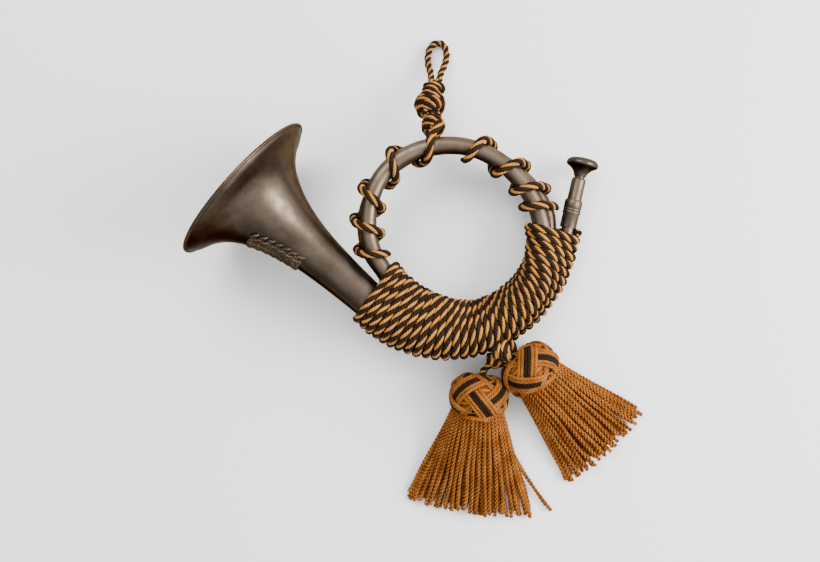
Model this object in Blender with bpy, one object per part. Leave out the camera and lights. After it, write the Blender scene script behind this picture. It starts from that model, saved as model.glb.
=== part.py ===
"""A coiled hunting bugle lying on a flat surface: two and a third turns of brass tube, a flared bell, a
mouthpiece that pulls out, a cord binding, a knotted hanging loop and two tassels.

The horn is drawn in its own coil frame: x and y lie in the coil's plane, with the hanging loop towards
+y, and z points out of the coil's front. An empty then tips that frame so that the horn rests on its bell
rim and binding. The tassels and the hanging loop lie on the surface itself, so they are drawn in the
surface's frame, whose x and y start below the coil's centre. Another empty moves that frame to the middle
of the whole object.
"""

import math

import bmesh
import bpy
import numpy as np
from mathutils import Matrix, Vector

# Driving dimensions, in millimetres and degrees
GAP = 0.4  # left between pieces that touch
WALL = 0.6  # brass sheet and tube
CORD = 5.4  # diameter of the twisted cord
TUBE_SIDES = 12
STEP_DEG = 7.5  # one ring of vertices for this much of a turn
SOFT_SHARP_DEG = 60  # cord and yarn pieces are shaded smooth up to this angle

# How the coil's frame stands on the surface
TIP_DEG = 11.28  # how far the coil's plane is tipped
TIP_AXIS_DEG = 67.2  # the direction of the line that it tips about
RISE = 33.67  # height of the coil's centre above the surface
CENTRE_X = 30.0  # the coil's centre, from the middle of the whole object
CENTRE_Y = 50.3

# The coil: turn angle from the mouthpipe, distance from the coil's centre, height, tube radius.
# Turn 0 is at the binding's upper end; the tube runs clockwise and grows slowly to the bell.
COIL = (
    (4, 93.5, 0.5, 5.0),
    (39, 89.0, -4.0, 5.15),
    (78, 89.0, -8.5, 5.3),
    (97, 82.0, -11.0, 5.35),
    (116, 72.5, -9.8, 5.4),
    (155, 64.5, -8.0, 5.5),
    (176, 68.8, -6.5, 5.6),
    (200, 71.4, -6.5, 5.65),
    (230, 70.8, -6.5, 5.7),
    (278, 68.8, -6.5, 5.8),
    (308, 69.8, -6.5, 5.85),
    (328, 72.2, -6.5, 5.9),
    (343, 75.4, -6.5, 5.95),
    (360, 78.8, -6.5, 6.0),
    (399, 73.5, -6.8, 6.2),
    (438, 69.8, -3.8, 6.4),
    (476, 62.7, 3.0, 6.5),
    (515, 61.8, 7.0, 6.6),
    (533, 64.6, 7.0, 6.7),
    (560, 68.0, 7.0, 6.8),
    (590, 71.2, 7.0, 6.8),
    (638, 68.4, 7.0, 6.9),
    (683, 67.0, 7.0, 7.0),
    (720, 70.4, 7.2, 7.1),
    (759, 76.5, 9.4, 8.5),
    (798, 83.2, 9.0, 10.2),
    (836, 85.0, 5.0, 12.3),
    (860, 85.0, 1.6, 14.2),
)
COIL_START_DEG = 8.0  # direction of turn angle 0, seen from the coil's centre
START_SLOPE = -0.45  # mm of radius per degree where the mouthpipe joins the coil
FIRST_TURN, LAST_TURN = COIL[0][0], COIL[-1][0]

# Where the tube sections meet, as turn angles, each under a ferrule below the binding
LEADPIPE_JOINT, COIL_JOINT, TAIL_JOINT = 60.0, 484.0, 806.0
FERRULE_HALF_DEG = 4.0
PIPE_RUN, BELL_RUN = 1.6, 1.48  # mm that the line goes straight on for each degree past the coil's two ends
FERRULE_WALL = 0.5

# Mouthpipe: lengths are measured up from the coil's first point
PIPE_DEG = 77.0
PIPE_END = 11.6
RECEIVER = ((12.0, 5.7), (35.8, 5.7), (37.2, 4.9))
RECEIVER_BORE = 4.3
RECEIVER_FERRULE = (
    (-3.0, 6.6), (8.0, 6.6), (8.6, 7.1), (9.6, 7.1), (10.2, 6.7), (10.8, 7.1), (11.8, 7.1),
    (12.4, 6.7), (13.0, 7.1), (17.6, 7.1), (19.4, 6.4),
)
RECEIVER_FERRULE_BORE = 6.1
MOUTHPIECE_OUTSIDE = (
    (17.0, 3.2), (37.0, 3.9), (38.6, 4.6), (40.6, 5.2), (43.0, 6.6), (45.0, 8.7), (46.5, 11.2),
    (47.4, 12.4), (48.6, 12.7), (50.0, 12.5), (51.6, 11.4), (52.8, 9.8),
)
MOUTHPIECE_INSIDE = (
    (52.6, 8.7), (51.0, 8.0), (48.5, 7.2), (46.0, 5.6), (44.0, 3.4), (42.4, 1.9), (17.0, 2.3),
)

# Bell: distance back from the mouth, outer radius
BELL_DEG = 138.2
BELL_LENGTH = 147.0
BELL_JOINT = 143.0
BELL = (
    (1.0, 66.3), (3.6, 64.2), (6.5, 59.0), (10.5, 51.0), (18.0, 41.8), (27.0, 35.2), (39.0, 29.0),
    (54.0, 23.8), (74.0, 19.6), (97.0, 17.0), (120.0, 15.4), (BELL_JOINT - 0.2, 14.4),
)
BELL_SIDES = 32
RIM = (
    (-1.3, 64.6), (-1.3, 67.6), (-0.4, 68.6), (1.2, 68.9), (2.6, 68.2), (3.0, 67.0), (0.6, 66.8),
    (0.5, 64.6),
)

# Relief ornament on the bell: where it lies and how large it is
ORNAMENT_FROM, ORNAMENT_TO = 35.0, 73.0
ORNAMENT_MIDDLE_DEG, ORNAMENT_HALF_DEG = -62.0, 34.0
ORNAMENT_THICK, ORNAMENT_LIFT = 1.6, 0.9

# Binding: direction of its middle line and slant of its ends
BINDING_FROM_DEG, BINDING_TO_DEG = 2.5, -141.7
BINDING_SLANT_FROM, BINDING_SLANT_TO = -12.3, 18.3
SLANT_SHARE = 0.2
BINDING_STATIONS = 24
BINDING_POINTS = 24
BINDING_CLEAR = 0.8

# Directions in which the open winding passes the coil's outer edge, out from the knot on each side
LEFT_PASSES = (98.5, 125.0, 152.5, 173.0, 191.5, 211.0)
RIGHT_PASSES = (97.0, 67.0, 43.0, 25.6, 13.5, 0.0)
LEFT_TURNS, RIGHT_TURNS = (0.2, 4.42), (0.55, 4.02)

# Stays soldered between the passes under the binding: turn angles of the lower and upper pass, half width
STAYS = {"front_stay": (438.0, 798.0, 2.2), "back_stay": (78.0, 438.0, 2.0)}
STAY_LENGTH = 3.6
STAY_CLEAR = 0.6

# Hanging loop: each knot's centre on the surface, and its half sizes along, across and through the chain
CHAIN_DROP_DEG = 25.0
KNOTS = {
    "lower_knot": ((-16.6, 88.8, 36.0), (9.2, 9.2, 8.0)),
    "middle_knot": ((-20.6, 108.5, 28.0), (10.8, 12.2, 9.6)),
    "upper_knot": ((-18.8, 123.7, 20.4), (5.4, 9.4, 7.0)),
}
LOOP_PIVOT = (-18.5, 97.9, 32.3)
LOOP_MIDDLE_X = -17.0
LOOP_SIDE = (  # y, half width, height
    (130.2, 3.3, 15.4), (137.0, 4.4, 12.0), (146.0, 7.2, 8.2), (154.0, 8.0, 5.4), (161.6, 6.2, 3.9),
    (165.2, 2.4, 3.3),
)

# The knot that ties both tassels to the binding: where it lies round the coil, and its half sizes
TASSEL_KNOT_DEG, TASSEL_KNOT_DISTANCE, TASSEL_KNOT_HEIGHT = -71.6, 107.8, 8.0
TASSEL_KNOT_HALF = (5.6, 9.5, 8.0)

# Tassels: head centre, direction of the skirt, pivot at the knot, the skirt's end and its width there
TASSELS = {
    "left": ((20.6, -130.6), -96.5, (28.5, -106.5, 26.0), 94.0, 104.0),
    "right": ((61.1, -108.9), -47.0, (41.5, -98.7, 26.0), 87.0, 82.0),
}
HEAD = (
    (-17.0, 9.6), (-15.6, 14.4), (-12.0, 18.8), (-6.0, 21.8), (0.0, 22.5), (6.0, 21.8), (11.6, 18.8),
    (15.0, 15.6),
)
HEAD_HEIGHT = 22.5
HEAD_BORE = 9.1
CORE_FROM, CORE_TO, CORE_RADIUS, CORE_BORE = -14.0, 18.4, 8.7, 3.3
NECK_FROM, NECK_TO, NECK_RADIUS = 15.5, 18.4, 14.0
SKIRT_FROM, SKIRT_START_WIDTH, SKIRT_START_THICK, SKIRT_END_THICK = 18.9, 44.0, 36.0, 16.0
SKIRT_SIDES, SKIRT_ROWS = 24, 6
SKIRT_SQUARENESS = 0.75  # below 1, the sections are squarer than an ellipse
CORD_OFF_KNOT, CORD_INTO_HEAD = 3.4, 20.0


# ---------------------------------------------------------------- geometry helpers


def direction(degrees):
    a = math.radians(degrees)
    return np.array([math.cos(a), math.sin(a), 0.0])


UP = np.array([0.0, 0.0, 1.0])
_ROWS = np.array(COIL, dtype=float)


def _slopes():
    rows = _ROWS
    out = np.zeros((len(rows), 3))
    for i in range(len(rows)):
        low, high = max(i - 1, 0), min(i + 1, len(rows) - 1)
        out[i] = (rows[high, 1:] - rows[low, 1:]) / (rows[high, 0] - rows[low, 0])
    out[0, 0] = START_SLOPE
    out[-1] = (0.0, 0.0, (BELL[-1][1] - BELL[-2][1]) / (BELL[-2][0] - BELL[-1][0]))
    return out


_SLOPES = _slopes()


def coil_values(turn):
    """Distance from the centre, height and tube radius at a turn angle."""
    rows = _ROWS
    i = int(np.clip(np.searchsorted(rows[:, 0], turn, side="right") - 1, 0, len(rows) - 2))
    span = rows[i + 1, 0] - rows[i, 0]
    t = (turn - rows[i, 0]) / span
    return (
        (2 * t**3 - 3 * t**2 + 1) * rows[i, 1:]
        + (t**3 - 2 * t**2 + t) * span * _SLOPES[i]
        + (3 * t**2 - 2 * t**3) * rows[i + 1, 1:]
        + (t**3 - t**2) * span * _SLOPES[i + 1]
    )


def coil_point(turn):
    distance, height, _ = coil_values(turn)
    return distance * direction(COIL_START_DEG - turn) + height * UP


def coil_radius(turn):
    return coil_values(turn)[2]


def turn_angles(start, stop):
    """Turn angles on a common grid, so that neighbouring passes have their rings side by side."""
    first = math.floor(start / STEP_DEG) + 1
    last = math.ceil(stop / STEP_DEG) - 1
    inner = [k * STEP_DEG for k in range(first, last + 1)]
    inner = [a for a in inner if a - start > 1.0 and stop - a > 1.0]
    return [start, *inner, stop]


def coil_stations(turns):
    """(centre, tangent, radius) at turn angles along the coil."""
    out = []
    for turn in turns:
        run = coil_or_bell(turn + 0.3) - coil_or_bell(turn - 0.3)
        out.append((coil_point(turn), run / np.linalg.norm(run), coil_radius(turn)))
    return out


def ring_at(centre, along, radius, sides, across=UP):
    side = np.cross(along, across)
    side /= np.linalg.norm(side)
    over = np.cross(side, along)
    return [
        centre + radius * (math.cos(a) * side + math.sin(a) * over)
        for a in (2 * math.pi * (k + 0.5) / sides for k in range(sides))
    ]


def new_object(name, verts, faces, material, origin=(0, 0, 0), parent=None, sharp_deg=35.0):
    """A mesh object from points in millimetres, with its origin where the caller says."""
    origin = np.array(origin, dtype=float)
    mesh = bpy.data.meshes.new(name)
    mesh.from_pydata([tuple((np.array(v) - origin) * 0.001) for v in verts], [], faces)
    work = bmesh.new()
    work.from_mesh(mesh)
    bmesh.ops.recalc_face_normals(work, faces=work.faces)
    if work.calc_volume(signed=True) < 0:
        bmesh.ops.reverse_faces(work, faces=work.faces)
    work.to_mesh(mesh)
    work.free()
    mesh.shade_smooth()
    mesh.set_sharp_from_angle(angle=math.radians(sharp_deg))
    mesh.materials.append(material)
    obj = bpy.data.objects.new(name, mesh)
    obj.location = Vector(origin * 0.001)
    obj.parent = parent
    bpy.context.scene.collection.objects.link(obj)
    return obj


def loft(rings, closed=False):
    """Verts and faces through equal rings: joined end to start if closed, otherwise capped."""
    count = len(rings[0])
    verts = [p for ring in rings for p in ring]
    faces = []
    for i in range(len(rings) if closed else len(rings) - 1):
        a, b = i * count, ((i + 1) % len(rings)) * count
        for k in range(count):
            n = (k + 1) % count
            faces.append((a + k, a + n, b + n, b + k))
    if not closed:
        faces.append(tuple(range(count))[::-1])
        faces.append(tuple((len(rings) - 1) * count + k for k in range(count)))
    return verts, faces


def hollow(name, stations, wall, material, parent, sides=TUBE_SIDES, clear=0.0):
    """A tube with a real bore: outer rings out and inner rings back. clear grows both surfaces."""
    outer = [ring_at(c, t, r + clear + (wall if clear else 0), sides) for c, t, r in stations]
    inner = [ring_at(c, t, r + clear - (0 if clear else wall), sides) for c, t, r in stations]
    verts, faces = loft(outer + inner[::-1], closed=True)
    return new_object(name, verts, faces, material, stations[0][0], parent)


def turned(name, profile, base, along, material, parent, sides):
    """A piece turned on a lathe: profile points (length, radius) go round a closed outline off the axis."""
    rings = [ring_at(base + s * along, along, r, sides) for s, r in profile]
    verts, faces = loft(rings, closed=True)
    return new_object(name, verts, faces, material, base, parent)


def blob(name, centre, half_sizes, axes, material, parent, rows=8, sides=12):
    """A rounded solid with the given half sizes along three axes."""
    a, b, c = axes
    rings = []
    for i in range(1, rows):
        lat = math.pi * i / rows - math.pi / 2
        middle = centre + half_sizes[0] * math.sin(lat) * a
        wide, deep = half_sizes[1] * math.cos(lat) * b, half_sizes[2] * math.cos(lat) * c
        turns = [2 * math.pi * k / sides for k in range(sides)]
        rings.append([middle + math.cos(q) * wide + math.sin(q) * deep for q in turns])
    verts, faces = loft(rings)
    return new_object(name, verts, faces, material, centre, parent, SOFT_SHARP_DEG)


def cord_tube(name, points, diameter, material, parent):
    """A cord's solid: a poly curve with a round bevel and filled caps."""
    curve = bpy.data.curves.new(name, "CURVE")
    curve.dimensions = "3D"
    curve.bevel_depth = diameter * 0.0005
    curve.bevel_resolution = 2
    curve.use_fill_caps = True
    curve.resolution_u = 1
    spline = curve.splines.new("POLY")
    spline.points.add(len(points) - 1)
    for p, co in zip(spline.points, points, strict=True):
        p.co = (*(np.array(co) * 0.001), 1.0)
    curve.materials.append(material)
    obj = bpy.data.objects.new(name, curve)
    obj.parent = parent
    bpy.context.scene.collection.objects.link(obj)
    return obj


def empty(name, matrix, parent=None):
    made = bpy.data.objects.new(name, None)
    made.parent = parent
    made.matrix_local = matrix
    bpy.context.scene.collection.objects.link(made)
    return made


def hang(piece, pivot):
    """Parent a piece to a pivot that has only a place, and keep the piece where it is."""
    piece.parent = pivot
    piece.matrix_parent_inverse = Matrix.Translation(-pivot.location)


def smooth_route(points, spacing):
    """Points at an even spacing on a Catmull-Rom curve through a route."""
    p = np.array(points, dtype=float)
    p = np.vstack([2 * p[0] - p[1], p, 2 * p[-1] - p[-2]])
    fine = []
    for a, b, c, d in zip(p[:-3], p[1:-2], p[2:-1], p[3:], strict=True):
        for t in np.linspace(0, 1, 24, endpoint=False):
            bend = (2 * a - 5 * b + 4 * c - d) * t**2 + (3 * b - a - 3 * c + d) * t**3
            fine.append(0.5 * (2 * b + (c - a) * t + bend))
    fine = np.array([*fine, p[-2]])
    run = np.concatenate([[0], np.cumsum(np.linalg.norm(np.diff(fine, axis=0), axis=1))])
    count = max(3, int(round(run[-1] / spacing)) + 1)
    at = np.linspace(0, run[-1], count)
    return np.stack([np.interp(at, run, fine[:, k]) for k in range(3)], axis=1)


def material(name, colour, roughness, metallic=0.0):
    made = bpy.data.materials.new(name)
    made.use_nodes = True
    shader = made.node_tree.nodes["Principled BSDF"]
    shader.inputs["Base Color"].default_value = (*colour, 1.0)
    shader.inputs["Roughness"].default_value = roughness
    shader.inputs["Metallic"].default_value = metallic
    return made


# ---------------------------------------------------------------- outlines round the tubes


def outline(circles, grow, count):
    """Even points round the tight outline of some circles (x, z, radius), each grown by grow."""
    probes = 180
    loop = []
    for k in range(probes):
        a = 2 * math.pi * k / probes - math.pi / 2
        d = np.array([math.cos(a), math.sin(a)])
        x, z, r = max(circles, key=lambda c: c[0] * d[0] + c[1] * d[1] + c[2])
        loop.append(np.array([x, z]) + (r + grow) * d)
    loop.append(loop[0])
    loop = np.array(loop)
    run = np.concatenate([[0], np.cumsum(np.linalg.norm(np.diff(loop, axis=0), axis=1))])
    middle = (loop.min(axis=0) + loop.max(axis=0)) / 2
    bearing = np.unwrap(np.arctan2(loop[:, 1] - middle[1], loop[:, 0] - middle[0]))
    first = np.interp(0.0, bearing, run)
    at = (first + run[-1] * np.arange(count) / count) % run[-1]
    return np.stack([np.interp(at, run, loop[:, k]) for k in range(2)], axis=1)


def binding_plane(share):
    """Where the binding's section at this share of its length lies: its middle direction and its slant."""
    middle = BINDING_FROM_DEG + (BINDING_TO_DEG - BINDING_FROM_DEG) * share
    slant = BINDING_SLANT_FROM * max(0.0, 1 - share / SLANT_SHARE)
    slant += BINDING_SLANT_TO * max(0.0, 1 - (1 - share) / SLANT_SHARE)
    return middle, middle + slant


def crossing(turn, point, normal):
    """The turn angle near this one where the tube's middle line passes through a plane."""
    for _ in range(12):
        here = np.dot(coil_or_bell(turn) - point, normal)
        ahead = np.dot(coil_or_bell(turn + 0.5) - point, normal)
        if abs(ahead - here) < 1e-9:
            break
        turn -= here * 0.5 / (ahead - here)
    return turn


def coil_or_bell(turn):
    """The middle line, carried straight on past both ends of the coil."""
    if turn < FIRST_TURN:
        return coil_point(FIRST_TURN) + (FIRST_TURN - turn) * PIPE_RUN * direction(PIPE_DEG)
    if turn > LAST_TURN:
        return coil_point(LAST_TURN) + (turn - LAST_TURN) * BELL_RUN * direction(BELL_DEG)
    return coil_point(turn)


def envelope_radius(turn):
    """Tube radius with the ferrules over the joints."""
    if turn < FIRST_TURN + 3:
        return RECEIVER_FERRULE[0][1]
    if turn > LAST_TURN:
        return BELL[-1][1] + GAP + FERRULE_WALL
    extra = 0.0
    for joint in (LEADPIPE_JOINT, COIL_JOINT, TAIL_JOINT):
        if abs(turn - joint) < FERRULE_HALF_DEG + 3:
            extra = GAP + FERRULE_WALL
    return coil_radius(turn) + extra


def binding_section(share, grow, count):
    """Points round the three passes, in the coil frame, at a share of the binding's length."""
    middle, across = binding_plane(share)
    e = direction(across)
    normal = np.cross(UP, e)
    point = (78.0 + 2.0 * share) * direction(middle)
    circles = []
    for lap in range(3):
        turn = crossing(COIL_START_DEG - middle + 360 * lap, point, normal)
        p = coil_or_bell(turn) - point
        run = coil_or_bell(turn + 1) - coil_or_bell(turn - 1)
        square_on = abs(np.dot(run, normal)) / np.linalg.norm(run)
        circles.append((np.dot(p, e), p[2], envelope_radius(turn) / square_on))
    return [point + x * e + z * UP for x, z in outline(circles, grow, count)]


def winding_point(ring_deg, share, grow):
    """A point of the open winding round the two visible passes; share is how far round it has gone."""
    turn = (COIL_START_DEG - ring_deg) % 360
    circles = []
    for lap in (0, 1):
        distance, height, radius = coil_values(turn + 360 * lap)
        circles.append((distance, height, radius))
    count = 240
    x, z = outline(circles, grow, count)[int(round(share * count)) % count]
    return x * direction(ring_deg) + z * UP


def winding(passes, turns, spacing):
    """The open winding's route. It leaves the outer edge to the front and comes back behind."""
    route = []
    steps = int((turns[1] - turns[0]) * 90 / spacing) + 1
    sign = 1.0 if passes[-1] > passes[0] else -1.0
    for k in range(steps + 1):
        t = turns[0] + (turns[1] - turns[0]) * k / steps
        ring_deg = np.interp(t, range(len(passes)), passes)
        route.append(winding_point(ring_deg, (sign * t) % 1.0, BINDING_CLEAR + CORD / 2))
    return route


# ---------------------------------------------------------------- the horn


def make_mouthpipe(brass, horn):
    base = coil_point(FIRST_TURN)
    along = direction(PIPE_DEG)
    straight = [(base + s * along, -along, coil_radius(FIRST_TURN)) for s in (PIPE_END, PIPE_END / 2)]
    curved = coil_stations(turn_angles(FIRST_TURN, LEADPIPE_JOINT - 0.15))
    hollow("leadpipe", straight + curved, WALL, brass, horn)
    bore = RECEIVER_FERRULE_BORE
    ferrule = [*RECEIVER_FERRULE, (RECEIVER_FERRULE[-1][0], bore), (RECEIVER_FERRULE[0][0], bore)]
    turned("receiver_ferrule", ferrule, base, along, brass, horn, 20)
    receiver = [*RECEIVER, (RECEIVER[-1][0], RECEIVER_BORE), (RECEIVER[0][0], RECEIVER_BORE)]
    turned("mouthpiece_receiver", receiver, base, along, brass, horn, 20)
    outline_round = [*MOUTHPIECE_OUTSIDE, *MOUTHPIECE_INSIDE]
    turned("mouthpiece", outline_round, base, along, brass, horn, 24)


def make_coil(brass, horn):
    joints = (LEADPIPE_JOINT, COIL_JOINT, TAIL_JOINT)
    for name, start, stop in (
        ("first_coil_tube", joints[0] + 0.15, joints[1] - 0.15),
        ("second_coil_tube", joints[1] + 0.15, joints[2] - 0.15),
    ):
        hollow(name, coil_stations(turn_angles(start, stop)), WALL, brass, horn)
    for name, joint in zip(("leadpipe_ferrule", "coil_ferrule", "tail_ferrule"), joints, strict=True):
        sleeve = coil_stations(turn_angles(joint - FERRULE_HALF_DEG, joint + FERRULE_HALF_DEG))
        hollow(name, sleeve, FERRULE_WALL, brass, horn, clear=GAP)


def bell_frame():
    """The bell's mouth and the direction back from it to the coil."""
    mouth = coil_point(LAST_TURN) + BELL_LENGTH * direction(BELL_DEG)
    return mouth, -direction(BELL_DEG)


def make_bell(brass, horn):
    mouth, back = bell_frame()
    tail = coil_stations(turn_angles(TAIL_JOINT + 0.15, LAST_TURN))
    tail.append((mouth + (BELL_JOINT + 0.2) * back, -back, BELL[-1][1]))
    hollow("bell_tail", tail, WALL, brass, horn)
    inside = [(s + (0.0 if i else 0.2), r - WALL - (0.4 if i < 4 else 0)) for i, (s, r) in enumerate(BELL)]
    turned("bell", [*BELL, *inside[::-1]], mouth, back, brass, horn, BELL_SIDES)
    turned("bell_rim", RIM, mouth, back, brass, horn, BELL_SIDES)
    bore = BELL[-1][1] + GAP
    start, stop = BELL_JOINT - 5, BELL_JOINT + 3
    sleeve = ((start, bore), (start, bore + FERRULE_WALL), (stop, bore + FERRULE_WALL), (stop, bore))
    turned("bell_ferrule", sleeve, mouth, back, brass, horn, 20)


def bell_surface(s, degrees, lift):
    """A point over the bell's outside: distance from the mouth, angle from the front, height over it."""
    mouth, back = bell_frame()
    lengths, radii = zip(*BELL, strict=True)
    r = np.interp(s, lengths, radii) + lift
    side = np.cross(back, UP)
    a = math.radians(degrees)
    return mouth + s * back + r * (math.cos(a) * UP - math.sin(a) * side)


def make_ornament(brass, horn):
    """A leaf-shaped relief casting that follows the bell."""
    rows, columns = 9, 7
    upper, lower = [], []
    for i in range(rows):
        t = i / (rows - 1)
        s = ORNAMENT_FROM + (ORNAMENT_TO - ORNAMENT_FROM) * t
        half = ORNAMENT_HALF_DEG * (0.35 + 0.65 * math.sin(math.pi * min(0.15 + 0.8 * t, 1.0)))
        spread = [ORNAMENT_MIDDLE_DEG + half * (2 * k / (columns - 1) - 1) for k in range(columns)]
        lower.append([bell_surface(s, a, ORNAMENT_LIFT) for a in spread])
        upper.append([bell_surface(s, a, ORNAMENT_LIFT + ORNAMENT_THICK) for a in spread])
    rings = [up + low[::-1] for up, low in zip(upper, lower, strict=True)]
    verts, faces = loft(rings)
    count = 2 * columns
    faces = faces[:-2]
    for end in (0, rows - 1):
        base = end * count
        for k in range(columns - 1):
            faces.append((base + k, base + k + 1, base + count - 2 - k, base + count - 1 - k))
    new_object("bell_ornament", verts, faces, brass, verts[0], horn)


def make_stays(brass, horn):
    """Short soldered struts between two passes, with a saddle at each end."""
    for name, (low_turn, high_turn, half) in STAYS.items():
        a, b = coil_point(low_turn), coil_point(high_turn)
        span = b - a
        reach = np.linalg.norm(span)
        along = span / reach
        run = coil_point(low_turn + 1) - coil_point(low_turn - 1)
        run -= np.dot(run, along) * along
        run /= np.linalg.norm(run)
        across = np.cross(along, run)
        ra, rb = coil_radius(low_turn) + STAY_CLEAR, coil_radius(high_turn) + STAY_CLEAR
        steps = [half * (2 * k / 4 - 1) for k in range(5)]
        outline_points = [a + math.sqrt(ra**2 - y**2) * along + y * across for y in steps]
        outline_points += [a + (reach - math.sqrt(rb**2 - y**2)) * along + y * across for y in steps[::-1]]
        rings = [[p + shift * run for p in outline_points] for shift in (-STAY_LENGTH / 2, STAY_LENGTH / 2)]
        verts, faces = loft(rings)
        new_object(name, verts, faces, brass, (a + b) / 2, horn)


def make_binding(cord, horn):
    shares = [i / (BINDING_STATIONS - 1) for i in range(BINDING_STATIONS)]
    inner = [binding_section(s, BINDING_CLEAR, BINDING_POINTS) for s in shares]
    outer = [binding_section(s, BINDING_CLEAR + CORD, BINDING_POINTS) for s in shares]
    verts, faces = loft(outer + inner[::-1], closed=True)
    new_object("cord_binding", verts, faces, cord, verts[0], horn, SOFT_SHARP_DEG)
    for name, passes, turns in (
        ("left_winding", LEFT_PASSES, LEFT_TURNS),
        ("right_winding", RIGHT_PASSES, RIGHT_TURNS),
    ):
        route = winding(passes, turns, 6.0)
        cord_tube(name, route, CORD, cord, horn)


# ---------------------------------------------------------------- hanging loop and tassels


def horn_matrix():
    """From the coil's frame to the surface's frame, in metres."""
    tip = Matrix.Rotation(math.radians(TIP_DEG), 4, Vector(direction(TIP_AXIS_DEG)))
    return Matrix.Translation(Vector((0, 0, RISE * 0.001))) @ tip


def make_hanging_loop(cord, ground):
    """Three knots and a loop. All but the lowest knot swing on the pivot."""
    pivot = empty("loop_pivot", Matrix.Translation(Vector(LOOP_PIVOT) * 0.001), ground)
    drop = math.radians(CHAIN_DROP_DEG)
    along = np.array([0.0, math.cos(drop), -math.sin(drop)])
    across = np.array([1.0, 0.0, 0.0])
    axes = (along, across, np.cross(across, along))
    for name, (centre, half) in KNOTS.items():
        knot = blob(name, np.array(centre), half, axes, cord, ground)
        if name != "lower_knot":
            hang(knot, pivot)
    left = [(LOOP_MIDDLE_X - w, y, z) for y, w, z in LOOP_SIDE]
    right = [(LOOP_MIDDLE_X + w, y, z) for y, w, z in LOOP_SIDE]
    route = smooth_route(left + right[::-1], 2.6)
    hang(cord_tube("hanging_loop_cord", route, CORD, cord, ground), pivot)


def make_tassel_knot(cord, horn):
    out = direction(TASSEL_KNOT_DEG)
    centre = TASSEL_KNOT_DISTANCE * out + TASSEL_KNOT_HEIGHT * UP
    blob("tassel_knot", centre, TASSEL_KNOT_HALF, (out, np.cross(UP, out), UP), cord, horn)


def skirt_rings(head, along, end, end_width):
    """Sections of a skirt that lies on the surface and spreads towards its end."""
    side = np.cross(along, UP)
    rings = []
    for i in range(SKIRT_ROWS):
        t = i / (SKIRT_ROWS - 1)
        half_width = (SKIRT_START_WIDTH + (end_width - SKIRT_START_WIDTH) * t**0.9) / 2
        half_thick = (SKIRT_START_THICK + (SKIRT_END_THICK - SKIRT_START_THICK) * t**0.8) / 2
        height = half_thick + (HEAD_HEIGHT - SKIRT_START_THICK / 2) * (1 - t) ** 2 + GAP * t
        middle = head + (SKIRT_FROM + (end - SKIRT_FROM) * t) * along
        ring = []
        for k in range(SKIRT_SIDES):
            a = 2 * math.pi * k / SKIRT_SIDES
            x = math.copysign(abs(math.cos(a)) ** SKIRT_SQUARENESS, math.cos(a)) * half_width
            z = math.copysign(abs(math.sin(a)) ** SKIRT_SQUARENESS, math.sin(a)) * half_thick
            ring.append(np.array([middle[0], middle[1], height]) + x * side + z * UP)
        rings.append(ring)
    return rings


def make_tassel(side, cord, yarn, wood, ground):
    place, bearing, pivot_at, end, end_width = TASSELS[side]
    along = direction(bearing)
    head = np.array([*place, HEAD_HEIGHT])
    pivot = empty(f"{side}_tassel_pivot", Matrix.Translation(Vector(pivot_at) * 0.001), ground)
    bore = [(HEAD[-1][0], HEAD_BORE), (HEAD[0][0], HEAD_BORE)]
    core = ((CORE_FROM, CORE_RADIUS), (CORE_TO, CORE_RADIUS), (CORE_TO, CORE_BORE), (CORE_FROM, CORE_BORE))
    neck = ((NECK_FROM, NECK_RADIUS), (NECK_TO, NECK_RADIUS), (NECK_TO, HEAD_BORE), (NECK_FROM, HEAD_BORE))
    pieces = [
        turned(f"{side}_tassel_head", [*HEAD, *bore], head, along, yarn, ground, 16),
        turned(f"{side}_tassel_core", core, head, along, wood, ground, 12),
        turned(f"{side}_tassel_neck_binding", neck, head, along, yarn, ground, 16),
    ]
    verts, faces = loft(skirt_rings(head, along, end, end_width))
    pieces.append(new_object(f"{side}_tassel_skirt", verts, faces, yarn, head, ground, SOFT_SHARP_DEG))
    top = head + HEAD[0][0] * along
    start = np.array(pivot_at)
    way = (top - start) / np.linalg.norm(top - start)
    route = smooth_route([start + CORD_OFF_KNOT * way, top, top + CORD_INTO_HEAD * along], 5.0)
    pieces.append(cord_tube(f"{side}_tassel_cord", route, CORD, cord, ground))
    for piece in pieces:
        hang(piece, pivot)


def main():
    for old in list(bpy.data.objects):
        bpy.data.objects.remove(old)
    brass = material("antique_brass", (0.20, 0.155, 0.11), 0.38, 1.0)
    cord = material("twisted_cord", (0.30, 0.19, 0.08), 0.9)
    yarn = material("tassel_yarn", (0.44, 0.14, 0.015), 0.95)
    wood = material("turned_wood", (0.45, 0.30, 0.17), 0.7)
    ground = empty("surface", Matrix.Translation(Vector((CENTRE_X, CENTRE_Y, 0)) * 0.001))
    horn = empty("horn", horn_matrix(), ground)
    make_mouthpipe(brass, horn)
    make_coil(brass, horn)
    make_bell(brass, horn)
    make_ornament(brass, horn)
    make_stays(brass, horn)
    make_binding(cord, horn)
    make_tassel_knot(cord, horn)
    make_hanging_loop(cord, ground)
    for side in TASSELS:
        make_tassel(side, cord, yarn, wood, ground)


main()
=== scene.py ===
"""Looks of the coiled hunting bugle: aged brass, twisted cords, woven tassel heads and loose strands.

Lengths here are in millimetres, as in the design, and become metres when a mesh is made. The coil frame
and the surface frame are the design's own two frames: the first lies in the coil's plane, the second on
the surface.
"""

import math

import bmesh
import bpy
import numpy as np
from mathutils import Matrix, Vector


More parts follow.
